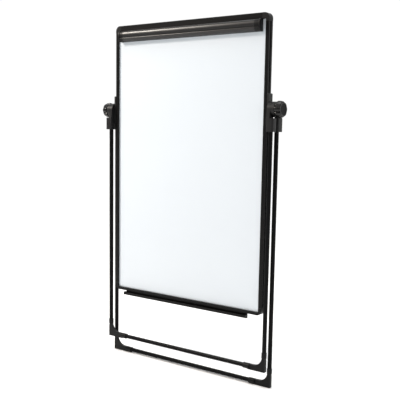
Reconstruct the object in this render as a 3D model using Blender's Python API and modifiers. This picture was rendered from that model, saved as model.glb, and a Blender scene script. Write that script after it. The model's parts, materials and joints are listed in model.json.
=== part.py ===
"""Flipchart easel: a framed writing board carried between two folding U-frames.

Units are metres, +Z up, the writing face looks along -Y, and the board's width runs along X.
The object is held folded: both U-frames hang straight down and the rear one stands on the ground.
All the positions below are measured from the pivot axis, which runs along X through both knobs.
"""

import math

import bmesh
import bpy
from mathutils import Matrix

# ---------------------------------------------------------------- driving dimensions
BOARD_W = 0.660  # over the side rails
BOARD_H = 0.990  # over the top and bottom rails
RAIL_DEPTH = 0.0245
SIDE_LIP = 0.0125  # width of a side rail's front face
BOTTOM_LIP = 0.011  # height of the bottom rail's front face
TOP_LIP = 0.020  # height of the top rail's front face
LIP_WALL = 0.0016
CORNER_R = 0.0184
CORNER_LEG = 0.026  # how far a corner cap runs along each rail
PANEL_FRONT, PANEL_BACK = -0.0042, 0.0063
SHEET_T = 0.0005
LIP_BACK = PANEL_FRONT - 0.0003  # the front lips reach back to the panel

PIVOT_BELOW_TOP = 0.306
PIVOT_HEIGHT = 0.935  # pivot axis above the rear frame's soles
FRONT_DROP = 0.873  # pivot axis to the front frame's soles
REAR_DROP = PIVOT_HEIGHT

LEG_X = {True: 0.3490, False: 0.3516}  # front frame, rear frame
LEG_Y = {True: 0.0150, False: 0.0190}  # each frame's tubes lie this far before or behind the pivot axis
TUBE_R, TUBE_WALL = 0.0075, 0.0012
SOCKET_R = 0.0078

# the stack along the pivot axis, outwards from the board's edge
BRACKET_IN, BRACKET_OUT = 0.3303, 0.3373
HEAD_IN, HEAD_MID_A, HEAD_MID_B, HEAD_OUT = 0.3378, 0.3505, 0.3510, 0.3637
SLEEVE_OUT = {True: 0.3642, False: 0.3662}
WASHER_IN, WASHER_OUT = 0.3640, 0.3652
KNOB_IN, KNOB_OUT = 0.3655, 0.3860
HUB_R = 0.0250
BOLT_R, BOLT_HOLE_R = 0.0030, 0.0033
BRACKET_UP, BRACKET_DOWN = 0.051, 0.048

HEAD_BACK = 0.0027
HEAD_FAR = {True: 0.0293, False: 0.0325}  # a head's sleeve, as distances from the pivot plane
SLEEVE_TOP, SLEEVE_BOTTOM = -0.0285, -0.072

KNOB_R, KNOB_FACE_R, KNOB_LOBES = 0.0275, 0.0239, 8

FOOT_H, FOOT_LEN, FOOT_T = 0.067, 0.080, 0.011
BAR_UP = 0.010  # the crossbar's centre line above the soles

CLAMP_TOP = 0.020  # the pad clamp's top edge below the board's top
CLAMP_HALF = 0.2830  # half the length of the jaw's extrusion
CLAMP_END = 0.2980
CLAMP_BRACKET_END = 0.3055
JAW_T = 0.002
CLAMP_HINGE_Y, CLAMP_HINGE_DROP = -0.0155, 0.0245

TRAY_HALF = 0.2765
TRAY_FRONT = -0.0240
TRAY_T = 0.0016
TRAY_DROP = 0.0143

TOP_Z = PIVOT_BELOW_TOP
BOTTOM_Z = PIVOT_BELOW_TOP - BOARD_H
HALF = BOARD_W / 2
FRONT_Y, REAR_Y = -0.011, RAIL_DEPTH - 0.011

# ---------------------------------------------------------------- scene and collections
for old in list(bpy.data.objects):
    bpy.data.objects.remove(old, do_unlink=True)

scene = bpy.context.scene
parts = bpy.data.collections.new("flipchart_easel")
cutters = bpy.data.collections.new("easel_cutters")
scene.collection.children.link(parts)
scene.collection.children.link(cutters)
cutters.hide_render = True


def material(name, colour, roughness, metallic=0.0):
    made = bpy.data.materials.new(name)
    made.use_nodes = True
    shader = made.node_tree.nodes["Principled BSDF"]
    shader.inputs["Base Color"].default_value = (*colour, 1.0)
    shader.inputs["Roughness"].default_value = roughness
    shader.inputs["Metallic"].default_value = metallic
    return made


BLACK_TUBE = material("black_powder_coat", (0.012, 0.012, 0.013), 0.42)
BLACK_RAIL = material("black_anodised_aluminium", (0.016, 0.016, 0.017), 0.38, 0.7)
BLACK_PLASTIC = material("black_moulded_plastic", (0.018, 0.018, 0.019), 0.5)
GREY_PLASTIC = material("dark_grey_plastic", (0.035, 0.035, 0.037), 0.45)
WHITE_STEEL = material("white_lacquered_steel", (0.86, 0.88, 0.90), 0.18)
CORE = material("fibre_core", (0.42, 0.30, 0.19), 0.85)
BACKING = material("galvanised_backing", (0.55, 0.56, 0.57), 0.45, 0.8)
ZINC = material("zinc_plated_steel", (0.60, 0.60, 0.58), 0.32, 1.0)
BRASS = material("brass", (0.62, 0.47, 0.22), 0.35, 1.0)
RUBBER = material("black_rubber", (0.02, 0.02, 0.02), 0.8)


def joint_empty(name, at, parent=None):
    made = bpy.data.objects.new(name, None)
    made.empty_display_size = 0.05
    parts.objects.link(made)
    made.parent = parent
    made["at"] = at
    base = parent["at"] if parent else (0.0, 0.0, 0.0)
    made.location = [a - b for a, b in zip(at, base)]
    return made


DATUM = joint_empty("easel_datum", (0.0, 0.0, 0.0))
DATUM.location = (0.0, (HEAD_FAR[True] - HEAD_FAR[False]) / 2, PIVOT_HEIGHT)
FRONT_JOINT = joint_empty("front_frame_axis", (0.0, 0.0, 0.0), DATUM)
TILT_JOINT = joint_empty("board_tilt_axis", (0.0, 0.0, 0.0), DATUM)
SLIDE_JOINT = joint_empty("board_slide_axis", (0.0, 0.0, 0.0), TILT_JOINT)
CLAMP_JOINT = joint_empty(
    "clamp_hinge_axis", (0.0, CLAMP_HINGE_Y, TOP_Z - CLAMP_HINGE_DROP), SLIDE_JOINT
)
KNOB_JOINT = {
    side: joint_empty(f"knob_axis_{name}", (side * KNOB_IN, 0.0, 0.0), TILT_JOINT)
    for side, name in ((1, "right"), (-1, "left"))
}


# ---------------------------------------------------------------- building blocks
def smooth(mesh, angle=35.0):
    mesh.shade_smooth()
    mesh.set_sharp_from_angle(angle=math.radians(angle))


def place(name, mesh, parent, look=None, at=(0.0, 0.0, 0.0)):
    """An object whose mesh is written about the point at, measured from the pivot axis."""
    made = bpy.data.objects.new(name, mesh)
    (parts if look else cutters).objects.link(made)
    made.parent = parent
    base = parent["at"]
    made.location = [a - b for a, b in zip(at, base)]
    if look:
        mesh.materials.clear()
        mesh.materials.append(look)
    else:
        made.hide_render = True
        made.display_type = "WIRE"
    return made


def box_mesh(name, lo, hi, bevel=0.0):
    bm = bmesh.new()
    bmesh.ops.create_cube(bm, size=1.0)
    size = [h - l for l, h in zip(lo, hi)]
    bmesh.ops.scale(bm, vec=size, verts=bm.verts)
    if bevel:
        bmesh.ops.bevel(
            bm, geom=bm.edges[:], offset=bevel, segments=2, profile=0.5, affect="EDGES"
        )
    bmesh.ops.translate(bm, vec=[(l + h) / 2 for l, h in zip(lo, hi)], verts=bm.verts)
    mesh = bpy.data.meshes.new(name)
    bm.to_mesh(mesh)
    bm.free()
    return mesh


AXIS_TURN = {
    "X": Matrix.Rotation(math.radians(90), 4, "Y"),
    "Y": Matrix.Rotation(math.radians(-90), 4, "X"),
    "Z": Matrix.Identity(4),
}


def rod_mesh(name, axis, lo, hi, radius, centre=(0.0, 0.0), segments=32, capped=True):
    """A cylinder along an axis; centre gives the other two coordinates in X, Y, Z order."""
    bm = bmesh.new()
    bmesh.ops.create_cone(
        bm, cap_ends=capped, segments=segments, radius1=radius, radius2=radius, depth=hi - lo
    )
    bmesh.ops.transform(bm, matrix=AXIS_TURN[axis], verts=bm.verts)
    middle = (lo + hi) / 2
    a, b = centre
    where = {"X": (middle, a, b), "Y": (a, middle, b), "Z": (a, b, middle)}[axis]
    bmesh.ops.translate(bm, vec=where, verts=bm.verts)
    mesh = bpy.data.meshes.new(name)
    bm.to_mesh(mesh)
    bm.free()
    smooth(mesh)
    return mesh


OUTLINE_TURN = {
    # an outline's own (a, b, depth) to world axes: X takes (y, z), Y takes (x, z), Z takes (x, y)
    "X": Matrix(((0, 0, 1, 0), (1, 0, 0, 0), (0, 1, 0, 0), (0, 0, 0, 1))),
    "Y": Matrix(((1, 0, 0, 0), (0, 0, -1, 0), (0, 1, 0, 0), (0, 0, 0, 1))),
    "Z": Matrix.Identity(4),
}


def outline_mesh(name, points, axis, lo, hi, sharp=35.0):
    """A flat outline as a filled 2D curve, extruded along an axis from lo to hi."""
    curve = bpy.data.curves.new(name + "_outline", "CURVE")
    curve.dimensions = "2D"
    curve.fill_mode = "BOTH"
    curve.extrude = (hi - lo) / 2
    spline = curve.splines.new("POLY")
    spline.points.add(len(points) - 1)
    for point, (a, b) in zip(spline.points, points):
        point.co = (a, b, 0.0, 1.0)
    spline.use_cyclic_u = True
    holder = bpy.data.objects.new(name + "_outline", curve)
    cutters.objects.link(holder)
    bpy.context.view_layer.update()
    mesh = bpy.data.meshes.new_from_object(
        holder.evaluated_get(bpy.context.evaluated_depsgraph_get())
    )
    bpy.data.objects.remove(holder, do_unlink=True)
    mesh.transform(OUTLINE_TURN[axis])
    middle = (lo + hi) / 2
    mesh.transform(
        Matrix.Translation({"X": (middle, 0, 0), "Y": (0, middle, 0), "Z": (0, 0, middle)}[axis])
    )
    bm = bmesh.new()
    bm.from_mesh(mesh)
    bmesh.ops.remove_doubles(bm, verts=bm.verts, dist=1e-6)
    bmesh.ops.recalc_face_normals(bm, faces=bm.faces)
    bm.to_mesh(mesh)
    bm.free()
    smooth(mesh, sharp)
    return mesh


def boolean(obj, operation, mesh, label):
    """Adds a Boolean whose operand is a wire helper placed with the object itself."""
    helper = bpy.data.objects.new(f"{obj.name}_{label}", mesh)
    cutters.objects.link(helper)
    helper.parent = obj.parent
    helper.location = obj.location
    helper.hide_render = True
    helper.display_type = "WIRE"
    modifier = obj.modifiers.new(label, "BOOLEAN")
    modifier.operation = operation
    modifier.solver = "EXACT"
    modifier.object = helper
    return modifier


def bake(obj, sharp=35.0):
    """The evaluated mesh becomes the object's own, so that a mirrored twin can be made from it."""
    bpy.context.view_layer.update()
    graph = bpy.context.evaluated_depsgraph_get()
    mesh = bpy.data.meshes.new_from_object(obj.evaluated_get(graph))
    obj.modifiers.clear()
    obj.data = mesh
    smooth(mesh, sharp)
    return obj


def twin(obj, name, parent=None):
    """The left-hand twin of a right-hand piece, mirrored in the plane X = 0."""
    mesh = obj.data.copy()
    bm = bmesh.new()
    bm.from_mesh(mesh)
    bmesh.ops.transform(bm, matrix=Matrix.Scale(-1, 4, (1, 0, 0)), verts=bm.verts)
    bmesh.ops.reverse_faces(bm, faces=bm.faces)
    bm.to_mesh(mesh)
    bm.free()
    smooth(mesh)
    made = bpy.data.objects.new(name, mesh)
    parts.objects.link(made)
    made.parent = parent or obj.parent
    made.location = (-obj.location.x, obj.location.y, obj.location.z)
    return made


def arc(cx, cy, radius, start, end, steps):
    """Points on an arc, from start to end degrees."""
    return [
        (
            cx + radius * math.cos(math.radians(start + (end - start) * i / steps)),
            cy + radius * math.sin(math.radians(start + (end - start) * i / steps)),
        )
        for i in range(steps + 1)
    ]


def rounded_rectangle(x0, x1, y0, y1, radius, steps=4):
    return (
        arc(x1 - radius, y0 + radius, radius, -90, 0, steps)
        + arc(x1 - radius, y1 - radius, radius, 0, 90, steps)
        + arc(x0 + radius, y1 - radius, radius, 90, 180, steps)
        + arc(x0 + radius, y0 + radius, radius, 180, 270, steps)
    )


def sheet_outline(points, thickness):
    """A bent strip of sheet: the open line of points, and the same line offset to its right."""
    normals = []
    for i in range(len(points)):
        ax, ay = points[max(i - 1, 0)]
        bx, by = points[min(i + 1, len(points) - 1)]
        px, py = points[i]
        sides = []
        for (ux, uy), (vx, vy) in (((ax, ay), (px, py)), ((px, py), (bx, by))):
            length = math.hypot(vx - ux, vy - uy)
            if length > 1e-9:
                sides.append(((vy - uy) / length, -(vx - ux) / length))
        nx = sum(s[0] for s in sides) / len(sides)
        ny = sum(s[1] for s in sides) / len(sides)
        square = nx * nx + ny * ny
        normals.append((nx / square, ny / square))
    inner = [
        (x + nx * thickness, y + ny * thickness) for (x, y), (nx, ny) in zip(points, normals)
    ]
    return points + inner[::-1]


def tube(name, axis, lo, hi, centre, parent, at):
    """A straight length of open-ended steel tube."""
    mesh = rod_mesh(name, axis, lo, hi, TUBE_R, centre, 24, capped=False)
    made = place(name, mesh, parent, BLACK_TUBE, at)
    wall = made.modifiers.new("wall", "SOLIDIFY")
    wall.thickness = TUBE_WALL
    wall.offset = -1.0
    return made


# ---------------------------------------------------------------- the two U-frames
def foot_outline():
    """A corner foot from the front: outwards is +a, the sole is at b = 0."""
    outer, neck = 0.0068, 0.0052
    low = 0.0185
    return (
        arc(outer - 0.0025, 0.0025, 0.0025, -90, 0, 4)
        + [(outer, 0.040), (neck, 0.047), (neck, 0.056), (-neck, 0.056)]
        + arc(-neck - 0.036, 0.0545, 0.036, -8, -82, 9)
        + [(-0.045, low), (-0.062, low - 0.001), (-0.062, 0.0)]
    )


def corner_foot(name, x, y, drop, parent):
    """The right-hand corner foot, about the corner where the leg's and the bar's centre lines meet."""
    at = (x, y, -drop)
    gusset = outline_mesh(name, foot_outline(), "Y", -FOOT_T / 2, FOOT_T / 2)
    foot = place(name, gusset, parent, BLACK_PLASTIC, at)
    boolean(foot, "UNION", rod_mesh("collar", "Z", 0.049, FOOT_H, 0.0090), "upright_collar")
    boolean(
        foot,
        "UNION",
        rod_mesh("sleeve", "X", -FOOT_LEN, -0.055, BAR_UP - 0.00015, (0.0, BAR_UP)),
        "bar_sleeve",
    )
    boolean(
        foot, "DIFFERENCE", rod_mesh("leg_bore", "Z", 0.0512, FOOT_H + 0.01, SOCKET_R), "leg_socket"
    )
    boolean(
        foot,
        "DIFFERENCE",
        rod_mesh("bar_bore", "X", -FOOT_LEN - 0.01, -0.0574, SOCKET_R, (0.0, BAR_UP)),
        "bar_socket",
    )
    return bake(foot)


def leg_head(name, front, parent):
    """The right-hand moulding at a leg's top: a hub on the pivot axis and a sleeve for the tube.

    The two frames' heads are half-lapped: the front frame's hub takes the inner half of the stack.
    """
    s = -1 if front else 1
    x0, x1 = (HEAD_IN, HEAD_MID_A) if front else (HEAD_MID_B, HEAD_OUT)
    far, near = s * (HEAD_FAR[front] - 0.0003), s * (HEAD_BACK + 0.0003)
    hub = arc(0, 0, HUB_R, -82, 188, 26)
    arm = [(-a if not front else a, b) for a, b in hub]
    outline = [(near, -0.050), (near, -HUB_R - 0.0002)] + arm + [(far, -0.0300), (far, -0.050)]
    head = place(name, outline_mesh(name, outline, "X", x0, x1), parent, BLACK_PLASTIC)
    lo, hi = sorted((s * HEAD_FAR[front], s * HEAD_BACK))
    sleeve = outline_mesh(
        name + "_sleeve",
        rounded_rectangle(HEAD_IN + 0.0003, SLEEVE_OUT[front], lo, hi, 0.0050),
        "Z",
        SLEEVE_BOTTOM,
        SLEEVE_TOP,
    )
    boolean(head, "UNION", sleeve, "sleeve")
    boolean(
        head,
        "DIFFERENCE",
        rod_mesh("tube_bore", "Z", SLEEVE_BOTTOM - 0.01, -0.034, SOCKET_R, (LEG_X[front], s * LEG_Y[front])),
        "tube_socket",
    )
    boolean(
        head,
        "DIFFERENCE",
        rod_mesh("bolt_bore", "X", HEAD_IN - 0.01, SLEEVE_OUT[front] + 0.01, BOLT_HOLE_R, segments=24),
        "bolt_hole",
    )
    return bake(head)


def u_frame(label, front, drop, parent):
    x, y = LEG_X[front], (-LEG_Y[front] if front else LEG_Y[front])
    foot = corner_foot(f"{label}_foot_right", x, y, drop, parent)
    twin(foot, f"{label}_foot_left")
    head = leg_head(f"{label}_head_right", front, parent)
    twin(head, f"{label}_head_left")
    top, bottom = -0.036, -drop + 0.0520
    for side, word in ((1, "right"), (-1, "left")):
        tube(
            f"{label}_leg_{word}",
            "Z",
            bottom - top,
            0.0,
            (0.0, 0.0),
            parent,
            (side * x, y, top),
        )
    reach = x - 0.0582
    tube(f"{label}_crossbar", "X", -reach, reach, (0.0, 0.0), parent, (0.0, y, -drop + BAR_UP))


u_frame("rear", False, REAR_DROP, DATUM)
u_frame("front", True, FRONT_DROP, FRONT_JOINT)

# ---------------------------------------------------------------- slider brackets and pivot bolts
bracket = place(
    "slider_bracket_right",
    outline_mesh(
        "slider_bracket_right",
        rounded_rectangle(-0.0112, 0.0112, -BRACKET_DOWN, BRACKET_UP, 0.0025, 4),
        "X",
        BRACKET_IN,
        BRACKET_OUT,
    ),
    TILT_JOINT,
    BLACK_PLASTIC,
)
boolean(
    bracket,
    "UNION",
    box_mesh("guide_rib", (0.3286, -0.0030, -0.044), (BRACKET_IN + 0.002, 0.0030, 0.047)),
    "guide_rib",
)
boolean(
    bracket,
    "DIFFERENCE",
    rod_mesh("bolt_bore", "X", 0.320, 0.345, BOLT_HOLE_R, segments=24),
    "bolt_hole",
)
twin(bake(bracket), "slider_bracket_left")

bolt = place(
    "pivot_bolt_right",
    outline_mesh(
        "pivot_bolt_right", rounded_rectangle(-0.0060, 0.0060, -0.0110, 0.0110, 0.0015, 2), "X", 0.3246, 0.3280
    ),
    TILT_JOINT,
    ZINC,
)
boolean(bolt, "UNION", rod_mesh("shank", "X", 0.3262, 0.3768, BOLT_R, segments=24), "shank")
twin(bake(bolt), "pivot_bolt_left")

washer = place(
    "pivot_washer_right",
    rod_mesh("pivot_washer_right", "X", WASHER_IN, WASHER_OUT, 0.0100, segments=32),
    TILT_JOINT,
    ZINC,
)
boolean(
    washer, "DIFFERENCE", rod_mesh("bore", "X", 0.360, 0.370, BOLT_HOLE_R, segments=24), "hole"
)
twin(bake(washer), "pivot_washer_left")


# ---------------------------------------------------------------- hand knobs
def turned(name, profile, steps):
    """A turned shape about X: profile gives (distance along X, radius), inner face first."""
    mesh = bpy.data.meshes.new(name)
    bm = bmesh.new()
    last = None
    for along, radius in profile:
        vert = bm.verts.new((radius, 0.0, along))
        if last:
            bm.edges.new((last, vert))
        last = vert
    bm.to_mesh(mesh)
    bm.free()
    holder = bpy.data.objects.new(name + "_profile", mesh)
    cutters.objects.link(holder)
    screw = holder.modifiers.new("turn", "SCREW")
    screw.axis = "Z"
    screw.steps = screw.render_steps = steps
    screw.use_merge_vertices = True
    screw.merge_threshold = 0.00005
    bpy.context.view_layer.update()
    made = bpy.data.meshes.new_from_object(
        holder.evaluated_get(bpy.context.evaluated_depsgraph_get())
    )
    bpy.data.objects.remove(holder, do_unlink=True)
    made.transform(AXIS_TURN["X"])
    bm = bmesh.new()
    bm.from_mesh(made)
    bmesh.ops.remove_doubles(bm, verts=bm.verts, dist=1e-6)
    bmesh.ops.recalc_face_normals(bm, faces=bm.faces)
    bm.to_mesh(made)
    bm.free()
    smooth(made)
    return made


KNOB_DEPTH = KNOB_OUT - KNOB_IN
knob_profile = [
    (0.0, 0.0),
    (0.0, 0.0262),
    (0.0015, 0.0270),
    (0.0040, KNOB_R),
    (0.0110, KNOB_R - 0.0003),
    (0.0165, 0.0262),
    (KNOB_DEPTH - 0.0010, KNOB_FACE_R + 0.0006),
    (KNOB_DEPTH, KNOB_FACE_R - 0.0007),
    (KNOB_DEPTH, 0.0),
]
knob = place(
    "knob_right",
    turned("knob_right", knob_profile, 48),
    KNOB_JOINT[1],
    BLACK_PLASTIC,
    (KNOB_IN, 0.0, 0.0),
)


def groove_cutter():
    """The narrow grooves between the knob's lobes, one rod for each, leaning in with the taper."""
    bm = bmesh.new()
    for i in range(KNOB_LOBES):
        made = bmesh.ops.create_cone(
            bm, cap_ends=True, segments=12, radius1=0.0030, radius2=0.0030, depth=0.040
        )
        lean = Matrix.Rotation(math.radians(-6.0), 4, "Y")
        turn = Matrix.Rotation(math.radians(360.0 * (i + 0.5) / KNOB_LOBES), 4, "X")
        matrix = turn @ Matrix.Translation((0.0110, 0.0, 0.0268)) @ AXIS_TURN["X"] @ lean
        bmesh.ops.transform(bm, matrix=matrix, verts=made["verts"])
    mesh = bpy.data.meshes.new("knob_grooves")
    bm.to_mesh(mesh)
    bm.free()
    return mesh


boolean(knob, "DIFFERENCE", groove_cutter(), "grooves")
boolean(
    knob,
    "DIFFERENCE",
    rod_mesh("insert_bore", "X", -0.005, 0.0125, 0.0058, segments=24),
    "insert_socket",
)
boolean(
    knob,
    "DIFFERENCE",
    rod_mesh("cap_bore", "X", KNOB_DEPTH - 0.0022, KNOB_DEPTH + 0.005, 0.0194, segments=40),
    "cap_recess",
)
twin(bake(knob), "knob_left", KNOB_JOINT[-1])

insert = place(
    "knob_insert_right",
    rod_mesh("knob_insert_right", "X", 0.0003, 0.0118, 0.0054, segments=24),
    KNOB_JOINT[1],
    BRASS,
    (KNOB_IN, 0.0, 0.0),
)
boolean(
    insert, "DIFFERENCE", rod_mesh("thread", "X", -0.005, 0.020, BOLT_HOLE_R, segments=24), "thread"
)
twin(bake(insert), "knob_insert_left", KNOB_JOINT[-1])

cap = place(
    "knob_cap_right",
    turned(
        "knob_cap_right",
        [
            (KNOB_DEPTH - 0.0019, 0.0),
            (KNOB_DEPTH - 0.0019, 0.0190),
            (KNOB_DEPTH - 0.0004, 0.0190),
            (KNOB_DEPTH, 0.0184),
            (KNOB_DEPTH, 0.0),
        ],
        40,
    ),
    KNOB_JOINT[1],
    GREY_PLASTIC,
    (KNOB_IN, 0.0, 0.0),
)
twin(cap, "knob_cap_left", KNOB_JOINT[-1])

# ---------------------------------------------------------------- the board
SLOT_IN = 0.0074  # panel slot's floor, from the side rail's outer edge
side_profile = [
    (0.0, FRONT_Y + 0.0010),
    (-0.0010, FRONT_Y),
    (-SIDE_LIP, FRONT_Y),
    (-SIDE_LIP, LIP_BACK),
    (-SLOT_IN, LIP_BACK),
    (-SLOT_IN, PANEL_BACK + 0.0003),
    (-SIDE_LIP, PANEL_BACK + 0.0003),
    (-SIDE_LIP, PANEL_BACK + 0.0018),
    (-SLOT_IN, PANEL_BACK + 0.0018),
    (-SLOT_IN, REAR_Y - LIP_WALL),
    (-SIDE_LIP + 0.002, REAR_Y - LIP_WALL),
    (-SIDE_LIP + 0.002, REAR_Y),
    (-0.0010, REAR_Y),
    (0.0, REAR_Y - 0.0010),
    (0.0, 0.0034),
    (-0.0018, 0.0034),
    (-0.0018, 0.0064),
    (-0.0059, 0.0064),
    (-0.0059, -0.0064),
    (-0.0018, -0.0064),
    (-0.0018, -0.0034),
    (0.0, -0.0034),
]
rail = place(
    "side_rail_right",
    outline_mesh(
        "side_rail_right",
        [(HALF + u, y) for u, y in side_profile],
        "Z",
        BOTTOM_Z + CORNER_LEG + 0.0003,
        TOP_Z - CORNER_LEG - 0.0003,
    ),
    SLIDE_JOINT,
    BLACK_RAIL,
)
twin(rail, "side_rail_left")

END_X = HALF - CORNER_LEG - 0.0003
END_SLOT = 0.0052  # panel slot's floor, from the bottom rail's or the top rail's outer edge


def end_profile(edge, s, lip):
    """A top or bottom rail's section in (y, z): edge is its outer edge and s points into the board."""
    return [
        (FRONT_Y + 0.0010, edge),
        (FRONT_Y, edge + s * 0.0010),
        (FRONT_Y, edge + s * lip),
        (LIP_BACK, edge + s * lip),
        (LIP_BACK, edge + s * END_SLOT),
        (PANEL_BACK + 0.0003, edge + s * END_SLOT),
        (PANEL_BACK + 0.0003, edge + s * 0.0110),
        (PANEL_BACK + 0.0018, edge + s * 0.0110),
        (PANEL_BACK + 0.0018, edge + s * END_SLOT),
        (REAR_Y - LIP_WALL, edge + s * END_SLOT),
        (REAR_Y - LIP_WALL, edge + s * 0.0110),
        (REAR_Y, edge + s * 0.0110),
        (REAR_Y, edge + s * 0.0010),
        (REAR_Y - 0.0010, edge),
    ]


place(
    "top_rail",
    outline_mesh("top_rail", end_profile(TOP_Z, -1, TOP_LIP), "X", -END_X, END_X),
    SLIDE_JOINT,
    BLACK_RAIL,
)
bottom_rail = place(
    "bottom_rail",
    outline_mesh("bottom_rail", end_profile(BOTTOM_Z, 1, BOTTOM_LIP), "X", -END_X, END_X),
    SLIDE_JOINT,
    BLACK_RAIL,
)


def corner_cap(name, top):
    """A moulded cap: a rounded corner block with lips over the panel's front and back, hollowed for the panel."""
    s = -1 if top else 1
    edge = TOP_Z if top else BOTTOM_Z
    lip, leg = (TOP_LIP if top else BOTTOM_LIP), CORNER_LEG
    block = (
        [(HALF - leg, 0.0)]
        + arc(HALF - CORNER_R, CORNER_R, CORNER_R, -90, 0, 8)
        + [
            (HALF, leg),
            (HALF - SIDE_LIP, leg),
            (HALF - SIDE_LIP, lip + 0.0020),
            (HALF - SIDE_LIP - 0.0020, lip),
            (HALF - leg, lip),
        ]
    )
    made = place(
        name,
        outline_mesh(name, [(x, edge + s * z) for x, z in block], "Y", FRONT_Y, REAR_Y),
        SLIDE_JOINT,
        BLACK_PLASTIC,
    )
    inner_r = 0.0105
    pocket = [(HALF - SLOT_IN, leg + 0.01)] + arc(
        HALF - SLOT_IN - inner_r, END_SLOT + inner_r, inner_r, 0, -90, 5
    )
    pocket += [(HALF - leg - 0.01, END_SLOT), (HALF - leg - 0.01, leg + 0.01)]
    boolean(
        made,
        "DIFFERENCE",
        outline_mesh(
            "pocket",
            [(x, edge + s * z) for x, z in pocket],
            "Y",
            LIP_BACK,
            REAR_Y - LIP_WALL,
        ),
        "pocket",
    )
    return bake(made)


twin(corner_cap("corner_cap_top_right", True), "corner_cap_top_left")
twin(corner_cap("corner_cap_bottom_right", False), "corner_cap_bottom_left")

PANEL_X = HALF - SLOT_IN - 0.0003
PANEL_LOW, PANEL_HIGH = BOTTOM_Z + END_SLOT + 0.0003, TOP_Z - END_SLOT - 0.0003
panel_outline = rounded_rectangle(-PANEL_X, PANEL_X, PANEL_LOW, PANEL_HIGH, 0.0115, 4)
for name, front, back, look in (
    ("writing_surface", PANEL_FRONT, PANEL_FRONT + SHEET_T, WHITE_STEEL),
    ("panel_core", PANEL_FRONT + SHEET_T + 0.0003, PANEL_BACK - SHEET_T - 0.0003, CORE),
    ("back_sheet", PANEL_BACK - SHEET_T, PANEL_BACK, BACKING),
):
    place(name, outline_mesh(name, panel_outline, "Y", front, back), SLIDE_JOINT, look)

# ---------------------------------------------------------------- pad clamp
place(
    "clamp_base",
    box_mesh(
        "clamp_base",
        (-CLAMP_BRACKET_END + 0.0015, FRONT_Y, TOP_Z - 0.0590),
        (CLAMP_BRACKET_END - 0.0015, PANEL_FRONT - 0.0003, TOP_Z - TOP_LIP - 0.0003),
    ),
    SLIDE_JOINT,
    BLACK_RAIL,
)

# the jaw's outer line, from its hinge over the front and round to the flange that holds the rubber
jaw_line = [
    (-0.0128, -0.0222),
    (-0.0150, -0.0212),
    (-0.0182, -0.0208),
    (-0.0214, -0.0216),
    (-0.0241, -0.0236),
    (-0.0261, -0.0267),
    (-0.0272, -0.0307),
    (-0.0276, -0.0350),
    (-0.0274, -0.0395),
    (-0.0268, -0.0425),
    (-0.0254, -0.0434),
    (-0.0254, -0.0455),
    (-0.0270, -0.0466),
    (-0.0270, -0.0488),
    (-0.0256, -0.0512),
    (-0.0232, -0.0555),
    (-0.0200, -0.0582),
    (-0.0160, -0.0586),
    (-0.0142, -0.0574),
    (-0.0142, -0.0510),
]
jaw_at = (0.0, CLAMP_HINGE_Y, TOP_Z - CLAMP_HINGE_DROP)


def jaw_local(points):
    return [(y - CLAMP_HINGE_Y, z + CLAMP_HINGE_DROP) for y, z in points]


# the offset line lies inside the jaw, so the line is walked with its hollow side on the right
place(
    "clamp_jaw",
    outline_mesh(
        "clamp_jaw", sheet_outline(jaw_local(jaw_line)[::-1], JAW_T), "X", -CLAMP_HALF, CLAMP_HALF
    ),
    CLAMP_JOINT,
    BLACK_RAIL,
    jaw_at,
)
jaw_end = place(
    "clamp_jaw_end_right",
    outline_mesh(
        "clamp_jaw_end_right", jaw_local(jaw_line), "X", CLAMP_HALF + 0.0003, CLAMP_END
    ),
    CLAMP_JOINT,
    BLACK_PLASTIC,
    jaw_at,
)
boolean(
    jaw_end,
    "DIFFERENCE",
    rod_mesh("pin_bore", "X", CLAMP_HALF + 0.004, CLAMP_END + 0.01, 0.0022, segments=20),
    "pin_hole",
)
twin(bake(jaw_end), "clamp_jaw_end_left")
place(
    "clamp_rubber",
    box_mesh(
        "clamp_rubber",
        (-CLAMP_HALF + 0.001, -0.0139 - CLAMP_HINGE_Y, -0.0570 + CLAMP_HINGE_DROP),
        (CLAMP_HALF - 0.001, -0.0114 - CLAMP_HINGE_Y, -0.0514 + CLAMP_HINGE_DROP),
        0.0004,
    ),
    CLAMP_JOINT,
    RUBBER,
    jaw_at,
)

bracket_outline = [
    (FRONT_Y - 0.0003, -0.0205),
    (-0.0165, -0.0190),
    (-0.0220, -0.0198),
    (-0.0262, -0.0230),
    (-0.0282, -0.0290),
    (-0.0286, -0.0370),
    (-0.0280, -0.0470),
    (-0.0262, -0.0530),
    (-0.0225, -0.0575),
    (-0.0180, -0.0592),
    (FRONT_Y - 0.0003, -0.0592),
]
end_bracket = place(
    "clamp_bracket_right",
    outline_mesh(
        "clamp_bracket_right",
        [(y, TOP_Z + z) for y, z in bracket_outline],
        "X",
        CLAMP_END + 0.0004,
        CLAMP_BRACKET_END,
    ),
    SLIDE_JOINT,
    BLACK_PLASTIC,
)
boolean(
    end_bracket,
    "DIFFERENCE",
    rod_mesh(
        "pin_bore",
        "X",
        CLAMP_END - 0.01,
        0.3040,
        0.0022,
        (CLAMP_HINGE_Y, TOP_Z - CLAMP_HINGE_DROP),
        20,
    ),
    "pin_hole",
)
twin(bake(end_bracket), "clamp_bracket_left")
pin = place(
    "clamp_pin_right",
    rod_mesh(
        "clamp_pin_right",
        "X",
        CLAMP_HALF + 0.0045,
        0.3035,
        0.0018,
        (CLAMP_HINGE_Y, TOP_Z - CLAMP_HINGE_DROP),
        20,
    ),
    SLIDE_JOINT,
    ZINC,
)
twin(pin, "clamp_pin_left")

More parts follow.
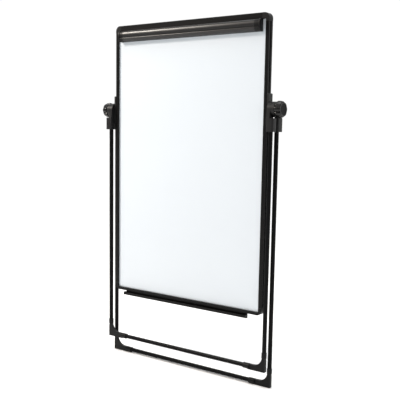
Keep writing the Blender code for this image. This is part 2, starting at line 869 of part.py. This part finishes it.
# ---------------------------------------------------------------- pen tray
tray_line = [
    (0.0080, -0.0003),
    (-0.0100, -0.0003),
    (-0.0100, -TRAY_DROP + 0.0030),
    (-0.0130, -TRAY_DROP + 0.0014),
    (TRAY_FRONT + 0.0050, -TRAY_DROP + 0.0014),
    (TRAY_FRONT + 0.0020, -TRAY_DROP + 0.0026),
    (TRAY_FRONT + TRAY_T, -0.0040),
]
tray = place(
    "pen_tray",
    outline_mesh(
        "pen_tray",
        [(y, BOTTOM_Z + z) for y, z in sheet_outline(tray_line[::-1], TRAY_T)],
        "X",
        -TRAY_HALF + 0.0023,
        TRAY_HALF - 0.0023,
    ),
    SLIDE_JOINT,
    BLACK_RAIL,
)
tray_end_outline = [
    (-0.0088, -0.0025),
    (-0.0088, -TRAY_DROP - 0.0008),
    (TRAY_FRONT + 0.0050, -TRAY_DROP - 0.0008),
    (TRAY_FRONT + 0.0015, -TRAY_DROP + 0.0006),
    (TRAY_FRONT, -TRAY_DROP + 0.0030),
    (TRAY_FRONT, -0.0034),
    (TRAY_FRONT + 0.0020, -0.0025),
]
tray_end = place(
    "pen_tray_end_right",
    outline_mesh(
        "pen_tray_end_right",
        [(y, BOTTOM_Z + z) for y, z in tray_end_outline],
        "X",
        TRAY_HALF - 0.0020,
        TRAY_HALF,
    ),
    SLIDE_JOINT,
    BLACK_PLASTIC,
)
twin(tray_end, "pen_tray_end_left")

SCREW_X, SCREW_Y = 0.200, 0.0005
for side, word in ((1, "right"), (-1, "left")):
    boolean(
        tray,
        "DIFFERENCE",
        rod_mesh("hole", "Z", BOTTOM_Z - 0.010, BOTTOM_Z + 0.002, 0.0021, (side * SCREW_X, SCREW_Y), 16),
        f"screw_hole_{word}",
    )
    boolean(
        bottom_rail,
        "DIFFERENCE",
        rod_mesh("hole", "Z", BOTTOM_Z - 0.010, BOTTOM_Z + 0.0040, 0.0021, (side * SCREW_X, SCREW_Y), 16),
        f"screw_hole_{word}",
    )
    at = (side * SCREW_X, SCREW_Y, BOTTOM_Z)
    screw_head = rod_mesh(f"tray_screw_{word}", "Z", -0.0044, -0.0022, 0.0036, segments=20)
    screw = place(f"tray_screw_{word}", screw_head, SLIDE_JOINT, ZINC, at)
    boolean(screw, "UNION", rod_mesh("shank", "Z", -0.0030, 0.0036, 0.0017, segments=16), "shank")

bpy.context.view_layer.update()
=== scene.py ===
"""Looks of the flipchart easel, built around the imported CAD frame. Metres, +Z up, the writing face looks along -Y."""

import json
import math

import bmesh
import bpy
from mathutils import Matrix, Vector


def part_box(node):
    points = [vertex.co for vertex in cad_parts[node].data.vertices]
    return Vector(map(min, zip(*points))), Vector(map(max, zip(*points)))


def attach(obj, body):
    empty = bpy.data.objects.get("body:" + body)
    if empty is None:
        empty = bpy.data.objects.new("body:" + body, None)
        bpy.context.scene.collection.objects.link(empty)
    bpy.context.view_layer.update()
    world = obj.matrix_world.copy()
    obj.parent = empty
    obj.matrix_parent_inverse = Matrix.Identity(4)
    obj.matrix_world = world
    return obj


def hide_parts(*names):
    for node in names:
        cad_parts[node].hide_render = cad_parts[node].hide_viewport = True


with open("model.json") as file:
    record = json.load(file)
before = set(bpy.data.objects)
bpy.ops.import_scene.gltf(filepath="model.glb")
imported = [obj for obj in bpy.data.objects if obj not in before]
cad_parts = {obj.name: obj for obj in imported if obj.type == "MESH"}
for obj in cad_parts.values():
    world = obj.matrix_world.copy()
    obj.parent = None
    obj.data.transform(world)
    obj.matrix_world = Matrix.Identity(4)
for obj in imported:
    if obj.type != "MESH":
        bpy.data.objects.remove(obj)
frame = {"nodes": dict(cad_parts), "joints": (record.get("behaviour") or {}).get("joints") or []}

scene = bpy.context.scene
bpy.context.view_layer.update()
NODES = frame["nodes"]

AXIS_Y, AXIS_Z = next(j["pos_m"] for j in frame["joints"] if j["name"] == "board_tilt")[1:]

# ---------------------------------------------------------------- camera
AZIMUTH, PITCH, ROLL = math.radians(36.27), math.radians(7.44), math.radians(0.96)
look = Vector(
    (
        -math.sin(AZIMUTH) * math.cos(PITCH),
        math.cos(AZIMUTH) * math.cos(PITCH),
        -math.sin(PITCH),
    )
)
side = Vector((math.cos(AZIMUTH), math.sin(AZIMUTH), 0.0))
up = side.cross(look)
side, up = (
    math.cos(ROLL) * side + math.sin(ROLL) * up,
    -math.sin(ROLL) * side + math.cos(ROLL) * up,
)
camera_data = bpy.data.cameras.new("camera")
camera_data.sensor_width = 36.0
camera_data.lens = 64.58
camera_data.shift_y = 0.0625
camera_data.clip_start, camera_data.clip_end = 0.05, 200.0
camera = bpy.data.objects.new("camera", camera_data)
scene.collection.objects.link(camera)
turn = Matrix((side, up, -look)).transposed().to_4x4()
camera.matrix_world = Matrix.Translation((1.5464, AXIS_Y - 2.02165, AXIS_Z - 0.0737)) @ turn
scene.camera = camera

# ---------------------------------------------------------------- light and floor
scene.view_settings.view_transform = "Standard"

world = bpy.data.worlds.new("studio")
world.use_nodes = True
wt = world.node_tree
coord = wt.nodes.new("ShaderNodeTexCoord")
split = wt.nodes.new("ShaderNodeSeparateXYZ")
fade = wt.nodes.new("ShaderNodeMapRange")
fade.inputs["From Min"].default_value, fade.inputs["From Max"].default_value = -0.15, 0.45
fade.inputs["To Min"].default_value, fade.inputs["To Max"].default_value = 0.30, 1.02
wt.links.new(coord.outputs["Generated"], split.inputs[0])
wt.links.new(split.outputs["Y"], fade.inputs["Value"])
wt.links.new(fade.outputs["Result"], wt.nodes["Background"].inputs["Strength"])
wt.nodes["Background"].inputs["Color"].default_value = (1.0, 1.0, 1.0, 1.0)
scene.world = world


def area_light(name, at, aim, size, power, colour):
    data = bpy.data.lights.new(name, "AREA")
    data.shape = "RECTANGLE"
    data.size, data.size_y = size
    data.energy = power
    data.color = colour
    made = bpy.data.objects.new(name, data)
    scene.collection.objects.link(made)
    made.location = at
    made.rotation_euler = (Vector(aim) - Vector(at)).to_track_quat("-Z", "Y").to_euler()
    return made


area_light("key_softbox", (-1.75, -1.45, 2.35), (0.0, 0.0, 0.95), (0.38, 0.52), 60.0, (1.0, 0.92, 0.84))
area_light("overhead_softbox", (0.0, -0.2, 3.4), (0.0, 0.0, 0.0), (3.0, 3.0), 30.0, (1.0, 1.0, 1.0))

sun = bpy.data.objects.new("ceiling_fill", bpy.data.lights.new("ceiling_fill", "SUN"))
sun.data.energy = 1.9
sun.data.angle = math.radians(60.0)
scene.collection.objects.link(sun)

# ---------------------------------------------------------------- shader helpers
class Shader:
    """A Principled material and short calls for the nodes that feed it."""

    def __init__(self, name, roughness=0.4, metallic=0.0, specular=0.5):
        self.material = bpy.data.materials.new(name)
        self.material.use_nodes = True
        self.tree = self.material.node_tree
        self.out = self.tree.nodes["Principled BSDF"]
        self.out.inputs["Roughness"].default_value = roughness
        self.out.inputs["Metallic"].default_value = metallic
        self.out.inputs["Specular IOR Level"].default_value = specular
        self.place = self.tree.nodes.new("ShaderNodeTexCoord").outputs["Object"]

    def link(self, value, socket):
        if isinstance(value, bpy.types.NodeSocket):
            self.tree.links.new(value, socket)
        else:
            socket.default_value = value

    def scaled(self, scale, offset=(0.0, 0.0, 0.0)):
        node = self.tree.nodes.new("ShaderNodeMapping")
        node.inputs["Scale"].default_value = scale
        node.inputs["Location"].default_value = offset
        self.tree.links.new(self.place, node.inputs["Vector"])
        return node.outputs["Vector"]

    def noise(self, scale, detail=2.0, roughness=0.5, vector=None):
        node = self.tree.nodes.new("ShaderNodeTexNoise")
        node.inputs["Scale"].default_value = scale
        node.inputs["Detail"].default_value = detail
        node.inputs["Roughness"].default_value = roughness
        self.tree.links.new(vector or self.place, node.inputs["Vector"])
        return node.outputs["Fac"]

    def cells(self, scale, output="Distance", vector=None):
        node = self.tree.nodes.new("ShaderNodeTexVoronoi")
        node.inputs["Scale"].default_value = scale
        self.tree.links.new(vector or self.place, node.inputs["Vector"])
        return node.outputs[output]

    def remap(self, value, low, high, to_low, to_high):
        node = self.tree.nodes.new("ShaderNodeMapRange")
        for socket, number in zip(
            ("From Min", "From Max", "To Min", "To Max"), (low, high, to_low, to_high)
        ):
            node.inputs[socket].default_value = number
        self.link(value, node.inputs["Value"])
        return node.outputs["Result"]

    def math(self, operation, a, b=0.0):
        node = self.tree.nodes.new("ShaderNodeMath")
        node.operation = operation
        self.link(a, node.inputs[0])
        self.link(b, node.inputs[1])
        return node.outputs[0]

    def mix(self, share, a, b):
        node = self.tree.nodes.new("ShaderNodeMix")
        node.data_type = "RGBA"
        self.link(share, node.inputs["Factor"])
        self.link(a if isinstance(a, bpy.types.NodeSocket) else (*a, 1.0), node.inputs[6])
        self.link(b if isinstance(b, bpy.types.NodeSocket) else (*b, 1.0), node.inputs[7])
        return node.outputs[2]

    def colour(self, value):
        self.link(value, self.out.inputs["Base Color"])

    def rough(self, value):
        self.link(value, self.out.inputs["Roughness"])

    def bump(self, height, strength, distance, under=None):
        node = self.tree.nodes.new("ShaderNodeBump")
        node.inputs["Strength"].default_value = strength
        node.inputs["Distance"].default_value = distance
        self.link(height, node.inputs["Height"])
        if under is not None:
            self.tree.links.new(under, node.inputs["Normal"])
        self.tree.links.new(node.outputs["Normal"], self.out.inputs["Normal"])
        return node.outputs["Normal"]


def powder_coat(name, along, edge_wear_and_painted_highlight=False):
    """Black powder coat on steel tube: fine orange peel, soft gloss changes and a few rubbed marks along the tube."""
    s = Shader(name, 0.4, 0.0, 0.08)
    long_scale = [260.0, 260.0, 260.0]
    long_scale[along] = 9.0
    rubs = s.remap(s.noise(1.0, 3.0, 0.6, s.scaled(long_scale)), 0.62, 0.80, 0.0, 1.0)
    patches = s.noise(14.0, 3.0)
    coat = s.mix(patches, (0.0018, 0.0018, 0.0020), (0.0036, 0.0036, 0.0039))
    # On the edge material the lighter spots are chipped paint and also a painted highlight along the bevelled edges.
    edge_chips_and_painted_highlight = s.remap(s.noise(420.0, 2.0), 0.60, 0.68, 0.0, 1.0) if edge_wear_and_painted_highlight else 0.0
    shade = s.mix(s.math("MULTIPLY", rubs, 0.35), coat, (0.009, 0.009, 0.0095))
    s.colour(s.mix(edge_chips_and_painted_highlight, shade, (0.03, 0.03, 0.03)) if edge_wear_and_painted_highlight else shade)
    s.rough(s.math("ADD", s.remap(patches, 0.3, 0.7, 0.30, 0.40), s.math("MULTIPLY", rubs, 0.12)))
    peel = s.noise(950.0, 2.0, 0.55)
    s.bump(peel, 0.30, 0.00012)
    return s.material


def anodised(name, along, edge_wear_and_painted_highlight=False):
    """Black anodised aluminium extrusion: fine die lines along its length."""
    s = Shader(name, 0.34, 0.0, 0.12)
    lines_scale = [1500.0, 1500.0, 1500.0]
    lines_scale[along] = 2.5
    lines = s.noise(1.0, 4.0, 0.6, s.scaled(lines_scale))
    wide_scale = [160.0, 160.0, 160.0]
    wide_scale[along] = 1.2
    wide = s.noise(1.0, 2.0, 0.5, s.scaled(wide_scale))
    tone = s.mix(wide, (0.0024, 0.0023, 0.0022), (0.0046, 0.0043, 0.0041))
    if edge_wear_and_painted_highlight:
        # On the edge material the whole bevel is pushed a third of the way to grey, and the rubbed spots are lighter
        # still. This is edge wear and also a painted highlight along the edges.
        edge_rub_and_painted_highlight = s.remap(s.noise(240.0, 3.0), 0.50, 0.72, 0.0, 1.0)
        tone = s.mix(edge_rub_and_painted_highlight, s.mix(0.35, tone, (0.03, 0.03, 0.03)), (0.075, 0.074, 0.072))
    s.colour(tone)
    s.rough(s.math("ADD", s.remap(lines, 0.3, 0.7, 0.27, 0.37), s.remap(wide, 0.3, 0.7, -0.02, 0.04)))
    s.bump(lines, 0.22, 0.00006)
    return s.material


def moulded(name, tone, gloss, specular, grain=1500.0, edge_wear_and_painted_highlight=False):
    """Black moulded plastic with a spark-eroded grain and slight flow marks."""
    s = Shader(name, gloss, 0.0, specular)
    grains = s.noise(grain, 2.0, 0.6)
    pits = s.cells(grain * 0.55)
    flow = s.noise(24.0, 4.0, 0.55)
    dark, light = tuple(0.72 * c for c in tone), tuple(1.35 * c for c in tone)
    shade = s.mix(flow, dark, light)
    if edge_wear_and_painted_highlight:
        # On the edge material the rubbed spots are lighter. This is edge wear and also a painted highlight along the
        # bevelled edges.
        edge_rub_and_painted_highlight = s.remap(s.noise(300.0, 3.0), 0.48, 0.70, 0.0, 1.0)
        shade = s.mix(edge_rub_and_painted_highlight, shade, tuple(3.2 * c for c in tone))
    s.colour(shade)
    s.rough(s.math("ADD", s.remap(flow, 0.3, 0.7, gloss - 0.05, gloss + 0.06), s.remap(grains, 0.3, 0.7, -0.03, 0.04)))
    s.bump(s.math("ADD", grains, s.math("MULTIPLY", pits, 0.5)), 0.25, 0.00010)
    return s.material


def white_lacquer():
    """The dry-wipe face: baked white lacquer with a faint peel and the soft trace of wiping."""
    s = Shader("white_dry_wipe_lacquer", 0.2, 0.0, 0.42)
    broad = s.noise(3.0, 2.0, 0.5)
    wiped = s.noise(1.0, 4.0, 0.6, s.scaled((5.0, 5.0, 26.0)))
    s.colour(s.mix(s.math("ADD", s.math("MULTIPLY", broad, 0.7), s.math("MULTIPLY", wiped, 0.3)),
                   (0.664, 0.712, 0.755), (0.678, 0.726, 0.768)))
    s.rough(s.remap(wiped, 0.3, 0.7, 0.17, 0.25))
    s.bump(s.noise(210.0, 2.0), 0.05, 0.00008)
    return s.material


def galvanised():
    """The backing sheet: zinc spangle with a light roll mark."""
    s = Shader("galvanised_backing_steel", 0.4, 0.85, 0.5)
    spangle = s.cells(70.0, "Color")
    grey = s.tree.nodes.new("ShaderNodeRGBToBW")
    s.tree.links.new(spangle, grey.inputs["Color"])
    streaks = s.noise(1.0, 3.0, 0.5, s.scaled((120.0, 120.0, 2.0)))
    s.colour(s.mix(s.math("ADD", s.math("MULTIPLY", grey.outputs["Val"], 0.6), s.math("MULTIPLY", streaks, 0.4)),
                   (0.30, 0.31, 0.32), (0.46, 0.47, 0.48)))
    s.rough(s.remap(grey.outputs["Val"], 0.2, 0.8, 0.36, 0.52))
    s.bump(spangle, 0.06, 0.0001)
    return s.material


def zinc():
    s = Shader("zinc_plated_steel", 0.32, 1.0, 0.5)
    cloud = s.noise(180.0, 4.0, 0.6)
    s.colour(s.mix(cloud, (0.42, 0.42, 0.41), (0.64, 0.63, 0.60)))
    s.rough(s.remap(cloud, 0.3, 0.7, 0.26, 0.42))
    s.bump(s.noise(1400.0, 2.0), 0.12, 0.00005)
    return s.material


def brass():
    s = Shader("turned_brass", 0.3, 1.0, 0.5)
    rings = s.noise(1.0, 3.0, 0.6, s.scaled((2600.0, 60.0, 60.0)))
    s.colour(s.mix(s.noise(300.0, 3.0), (0.50, 0.36, 0.15), (0.70, 0.53, 0.25)))
    s.rough(s.remap(rings, 0.3, 0.7, 0.24, 0.40))
    s.bump(rings, 0.2, 0.00005)
    return s.material


def rubber():
    s = Shader("ribbed_black_rubber", 0.75, 0.0, 0.3)
    bloom = s.noise(60.0, 4.0, 0.6)
    s.colour(s.mix(bloom, (0.010, 0.010, 0.010), (0.024, 0.024, 0.023)))
    s.rough(s.remap(bloom, 0.3, 0.7, 0.66, 0.84))
    s.bump(s.noise(1.0, 2.0, 0.5, s.scaled((6.0, 1800.0, 1800.0))), 0.3, 0.0001)
    return s.material


def fibre_core():
    s = Shader("fibreboard_core", 0.85, 0.0, 0.3)
    fibre = s.noise(1.0, 6.0, 0.7, s.scaled((500.0, 2600.0, 500.0)))
    s.colour(s.mix(fibre, (0.26, 0.17, 0.10), (0.50, 0.37, 0.24)))
    s.rough(s.remap(fibre, 0.3, 0.7, 0.78, 0.95))
    s.bump(fibre, 0.4, 0.0002)
    return s.material


def cap_plastic(name):
    """The knob's cap: dark grey plastic with the faint turned rings of its mould."""
    s = Shader(name, 0.42, 0.0, 0.07)
    shifted = s.scaled((0.0, 1.0, 1.0), (0.0, -AXIS_Y, -AXIS_Z))
    length = s.tree.nodes.new("ShaderNodeVectorMath")
    length.operation = "LENGTH"
    s.tree.links.new(shifted, length.inputs[0])
    rings = s.math("SINE", s.math("MULTIPLY", length.outputs["Value"], 9000.0))
    flow = s.noise(90.0, 3.0)
    s.colour(s.mix(flow, (0.0028, 0.0028, 0.0030), (0.0048, 0.0048, 0.0050)))
    s.rough(s.remap(flow, 0.3, 0.7, 0.36, 0.48))
    s.bump(s.math("ADD", rings, s.math("MULTIPLY", s.noise(1500.0), 0.8)), 0.10, 0.00005)
    return s.material


# The *_EDGE materials go only on the bevelled edges. Their lighter, glossier colour is edge wear and also a painted
# highlight along the edges.
TUBE_UPRIGHT = powder_coat("powder_coat_upright", 2)
TUBE_LEVEL = powder_coat("powder_coat_level", 0)
TUBE_EDGE = powder_coat("powder_coat_edge", 2, True)
RAIL_UPRIGHT = anodised("anodised_upright", 2)
RAIL_LEVEL = anodised("anodised_level", 0)
RAIL_EDGE = anodised("anodised_edge", 2, True)
PLASTIC = moulded("moulded_black_plastic", (0.0034, 0.0034, 0.0035), 0.42, 0.16)
PLASTIC_EDGE = moulded("moulded_black_plastic_edge", (0.0038, 0.0038, 0.0039), 0.36, 0.20, edge_wear_and_painted_highlight=True)
SOFT_PLASTIC = moulded("bracket_black_plastic", (0.0075, 0.0075, 0.0077), 0.44, 0.24)
KNOB_PLASTIC = moulded("knob_black_plastic", (0.0035, 0.0034, 0.0033), 0.24, 0.32, 1900.0)
CAP_PLASTIC = cap_plastic("knob_cap_grey_plastic")
JAW_BLACK = anodised("anodised_jaw", 0)
JAW_BLACK.node_tree.nodes["Principled BSDF"].inputs["Specular IOR Level"].default_value = 0.38
WHITE = white_lacquer()
BACKING = galvanised()
ZINC = zinc()
BRASS = brass()
RUBBER = rubber()
CORE = fibre_core()


# ---------------------------------------------------------------- CAD nodes that stay
def dress(node, look, edge=None, width=0.0004, segments=2, angle=30.0):
    """Gives a CAD node its material and a small rounding on its edges."""
    o = NODES[node]
    mesh = o.data
    if "custom_normal" in mesh.attributes:
        mesh.attributes.remove(mesh.attributes["custom_normal"])
    mesh.polygons.foreach_set("use_smooth", [True] * len(mesh.polygons))
    mesh.materials.clear()
    mesh.materials.append(look)
    if edge:
        mesh.materials.append(edge)
    mesh.polygons.foreach_set("material_index", [0] * len(mesh.polygons))
    weld = o.modifiers.new("weld", "WELD")
    weld.merge_threshold = 0.00001
    planar = o.modifiers.new("planar", "DECIMATE")
    planar.decimate_type = "DISSOLVE"
    planar.angle_limit = math.radians(0.4)
    bevel = o.modifiers.new("edges", "BEVEL")
    bevel.width = width
    bevel.segments = segments
    bevel.limit_method = "ANGLE"
    bevel.angle_limit = math.radians(angle)
    bevel.harden_normals = True
    if edge:
        # the bevel faces take the edge material, whose lighter colour is edge wear and a painted highlight
        bevel.material = 1
    return o


for end in ("left", "right"):
    for u in ("rear", "front"):
        dress(f"{u}_leg_{end}", TUBE_UPRIGHT, TUBE_EDGE, 0.0003)
        dress(f"{u}_foot_{end}", PLASTIC, PLASTIC_EDGE, 0.0007, 3)
        dress(f"{u}_head_{end}", SOFT_PLASTIC, PLASTIC_EDGE, 0.0006, 3)
    dress(f"slider_bracket_{end}", SOFT_PLASTIC, PLASTIC_EDGE, 0.0004)
    dress(f"pivot_bolt_{end}", ZINC)
    dress(f"pivot_washer_{end}", ZINC, None, 0.0002)
    dress(f"knob_insert_{end}", BRASS, None, 0.0002)
    dress(f"side_rail_{end}", RAIL_UPRIGHT, RAIL_EDGE, 0.0003)
    dress(f"corner_cap_top_{end}", PLASTIC, PLASTIC_EDGE, 0.0005, 3)
    dress(f"corner_cap_bottom_{end}", PLASTIC, PLASTIC_EDGE, 0.0005, 3)
    dress(f"clamp_bracket_{end}", PLASTIC, PLASTIC_EDGE, 0.0008, 3, 40.0)
    dress(f"clamp_pin_{end}", ZINC, None, 0.0002)
    dress(f"pen_tray_end_{end}", PLASTIC, PLASTIC_EDGE, 0.0004)
    dress(f"tray_screw_{end}", ZINC, None, 0.0003)
for u in ("rear", "front"):
    dress(f"{u}_crossbar", TUBE_LEVEL, TUBE_EDGE, 0.0003)
dress("top_rail", RAIL_LEVEL, RAIL_EDGE, 0.0003)
dress("bottom_rail", RAIL_LEVEL, RAIL_EDGE, 0.0003)
dress("pen_tray", RAIL_LEVEL, RAIL_EDGE, 0.0003)
dress("clamp_base", RAIL_LEVEL, RAIL_EDGE, 0.0003)
dress("clamp_rubber", RUBBER, None, 0.0002)
dress("writing_surface", WHITE, None, 0.0001)
dress("panel_core", CORE, None, 0.0002)
dress("back_sheet", BACKING, None, 0.0001)


# ---------------------------------------------------------------- pieces made finer than their CAD nodes
def finish_mesh(name, bm, look, edge=None, sharp=38.0):
    bmesh.ops.recalc_face_normals(bm, faces=bm.faces)
    mesh = bpy.data.meshes.new(name)
    bm.to_mesh(mesh)
    bm.free()
    mesh.materials.append(look)
    if edge:
        mesh.materials.append(edge)
    mesh.shade_smooth()
    mesh.set_sharp_from_angle(angle=math.radians(sharp))
    made = bpy.data.objects.new(name, mesh)
    scene.collection.objects.link(made)
    return made


def rings_mesh(rings, close_first, close_last):
    """Quads between rings of equal length; an end ring is closed with a fan where asked."""
    bm = bmesh.new()
    made = [[bm.verts.new(p) for p in ring] for ring in rings]
    count = len(rings[0])
    for a, b in zip(made, made[1:]):
        for i in range(count):
            j = (i + 1) % count
            bm.faces.new((a[i], a[j], b[j], b[i]))
    for ring, close in ((made[0], close_first), (made[-1], close_last)):
        if close:
            middle = sum((v.co for v in ring), Vector()) / count
            centre = bm.verts.new(middle)
            for i in range(count):
                bm.faces.new((ring[i], ring[(i + 1) % count], centre))
    return bm


def eased(points, steps):
    """A smooth line through (a, b) points: Catmull-Rom, with that many steps in each span."""
    out = []
    for i in range(len(points) - 1):
        p0 = points[max(i - 1, 0)]
        p1, p2 = points[i], points[i + 1]
        p3 = points[min(i + 2, len(points) - 1)]
        for k in range(steps):
            t = k / steps
            out.append(
                tuple(
                    0.5
                    * (
                        2 * p1[c]
                        + (p2[c] - p0[c]) * t
                        + (2 * p0[c] - 5 * p1[c] + 4 * p2[c] - p3[c]) * t * t
                        + (3 * p1[c] - p0[c] - 3 * p2[c] + p3[c]) * t * t * t
                    )
                    for c in (0, 1)
                )
            )
    return out + [tuple(points[-1])]


LOBES, AROUND = 8, 192


def knob(end, sign):
    """An eight-lobed hand knob: crowned lobes parted by narrow grooves, tapering to the face."""
    outer = eased(
        [
            (0.0000, 0.0262),
            (0.0008, 0.0268),
            (0.0022, 0.0273),
            (0.0050, 0.0275),
            (0.0110, 0.0272),
            (0.0160, 0.0262),
            (0.0188, 0.0248),
            (0.0200, 0.0236),
            (0.0204, 0.0226),
        ],
        4,
    )
    profile = [(0.0125, 0.0002), (0.0125, 0.0056), (0.0122, 0.0058), (0.0002, 0.0058), (0.0, 0.0060), (0.0, 0.0245)]
    plain = len(profile)
    profile += outer
    grooved = len(profile)
    profile += [(0.0205, 0.0220), (0.0205, 0.0197), (0.0203, 0.0194), (0.0184, 0.0194), (0.0183, 0.0192), (0.0183, 0.0002)]
    rings = []
    for n, (along, radius) in enumerate(profile):
        ring = []
        for i in range(AROUND):
            angle = 2 * math.pi * i / AROUND
            r = radius
            if plain <= n < grooved:
                pitch = 2 * math.pi / LOBES
                off = (angle % pitch) - pitch / 2  # from the groove
                far = pitch / 2 - abs(off)  # from the lobe's crest
                r -= 0.0032 * math.exp(-((off * radius / 0.0024) ** 2))
                r -= 0.0007 * (far / (pitch / 2)) ** 2
            ring.append(
                (
                    sign * (0.3655 + along),
                    AXIS_Y + r * math.sin(angle),
                    AXIS_Z + r * math.cos(angle),
                )
            )
        rings.append(ring)
    made = finish_mesh(f"lobed_knob_{end}", rings_mesh(rings, True, True), KNOB_PLASTIC, None, 50.0)
    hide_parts(f"knob_{end}")
    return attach(made, f"knob_{end}")


def knob_cap(end, sign):
    """The press-in cap of a knob: a rolled rim, a shallow groove and a dished centre."""
    profile = [(0.0186, 0.0002), (0.0186, 0.0190)] + eased(
        [
            (0.0196, 0.0190),
            (0.02025, 0.01885),
            (0.0205, 0.0184),
            (0.0205, 0.0172),
            (0.0203, 0.0155),
            (0.0200, 0.0150),
            (0.0200, 0.0145),
            (0.0202, 0.0138),
            (0.0202, 0.0125),
            (0.0200, 0.0080),
            (0.01985, 0.0002),
        ],
        3,
    )
    rings = [
        [
            (
                sign * (0.3655 + along),
                AXIS_Y + radius * math.sin(2 * math.pi * i / 96),
                AXIS_Z + radius * math.cos(2 * math.pi * i / 96),
            )
            for i in range(96)
        ]
        for along, radius in profile
    ]
    made = finish_mesh(f"dished_cap_{end}", rings_mesh(rings, True, True), CAP_PLASTIC)
    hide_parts(f"knob_cap_{end}")
    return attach(made, f"knob_{end}")


for end, sign in (("left", -1), ("right", 1)):
    knob(end, sign)
    knob_cap(end, sign)

# the jaw's outer line in (y, z): a rolled front, a bead below a shadow groove, and a lip turned in at the foot
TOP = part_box("top_rail")[1].z
ROLL_FRONT = eased(
    [
        (-0.0128, -0.0222),
        (-0.0150, -0.0212),
        (-0.0182, -0.0208),
        (-0.0214, -0.0216),
        (-0.0241, -0.0236),
        (-0.0261, -0.0267),
        (-0.0272, -0.0307),
        (-0.0276, -0.0350),
        (-0.0274, -0.0395),
        (-0.0268, -0.0425),
    ],
    3,
)
FOOT_ROLL = eased(
    [
        (-0.0270, -0.0466),
        (-0.0272, -0.0477),
        (-0.0270, -0.0488),
        (-0.0256, -0.0512),
        (-0.0232, -0.0555),
        (-0.0200, -0.0580),
        (-0.0160, -0.0586),
        (-0.0144, -0.0574),
        (-0.0142, -0.0550),
        (-0.0142, -0.0510),
    ],
    3,
)
JAW_LINE = ROLL_FRONT + [(-0.0254, -0.0432), (-0.0254, -0.0457)] + FOOT_ROLL


def inset(line, wall):
    """The same line moved to its left by the wall, mitred at the corners."""
    out = []
    for i, (py, pz) in enumerate(line):
        sides = []
        for (ay, az), (by, bz) in (
            (line[max(i - 1, 0)], (py, pz)),
            ((py, pz), line[min(i + 1, len(line) - 1)]),
        ):
            length = math.hypot(by - ay, bz - az)
            if length > 1e-9:
                sides.append((-(bz - az) / length, (by - ay) / length))
        ny = sum(s[0] for s in sides) / len(sides)
        nz = sum(s[1] for s in sides) / len(sides)
        square = max(ny * ny + nz * nz, 0.5)
        out.append((py + ny / square * wall, pz + nz / square * wall))
    return out


def section_points(line):
    return [(AXIS_Y + y, TOP + z) for y, z in line]


def extrusion(name, section, stations, look, edge=None):
    """A closed section swept along X; stations give (x, share of the section's size about its middle)."""
    cy = sum(p[0] for p in section) / len(section)
    cz = sum(p[1] for p in section) / len(section)
    rings = [
        [(x, cy + (y - cy) * share, cz + (z - cz) * share) for y, z in section]
        for x, share in stations
    ]
    bm = bmesh.new()
    made = [[bm.verts.new(p) for p in ring] for ring in rings]
    count = len(section)
    for a, b in zip(made, made[1:]):
        for i in range(count):
            j = (i + 1) % count
            bm.faces.new((a[i], a[j], b[j], b[i]))
    for ring in (made[0], made[-1]):
        bm.faces.new(ring)
    return finish_mesh(name, bm, look, edge, 32.0)


jaw_outer = section_points(JAW_LINE)
jaw_inner = section_points(inset(JAW_LINE, 0.0018))
jaw = extrusion("rolled_clamp_jaw", jaw_outer + jaw_inner[::-1], [(-0.2830, 1.0), (-0.1415, 1.0), (0.0, 1.0), (0.1415, 1.0), (0.2830, 1.0)], JAW_BLACK)
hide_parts("clamp_jaw")
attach(jaw, "pad_clamp")

for end, sign in (("left", -1), ("right", 1)):
    cap = extrusion(
        f"rounded_jaw_end_{end}",
        jaw_outer,
        [
            (sign * 0.2833, 1.0),
            (sign * 0.2940, 1.0),
            (sign * 0.2965, 0.985),
            (sign * 0.2976, 0.955),
            (sign * 0.2980, 0.90),
        ],
        PLASTIC,
    )
    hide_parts(f"clamp_jaw_end_{end}")
    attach(cap, "pad_clamp")

# ---------------------------------------------------------------- floor
floor_look = Shader("pale_floor", 0.7, 0.0, 0.2)
floor_look.colour(floor_look.mix(floor_look.noise(1.5, 3.0), (0.90, 0.90, 0.90), (0.93, 0.93, 0.93)))
floor_look.rough(floor_look.remap(floor_look.noise(6.0, 2.0), 0.3, 0.7, 0.62, 0.78))
bm = bmesh.new()
bmesh.ops.create_grid(bm, x_segments=4, y_segments=4, size=60.0)
floor_mesh = bpy.data.meshes.new("floor")
bm.to_mesh(floor_mesh)
bm.free()
floor_mesh.materials.append(floor_look.material)
floor = bpy.data.objects.new("floor", floor_mesh)
floor.location = (0.0, 0.0, -0.0005)
scene.collection.objects.link(floor)
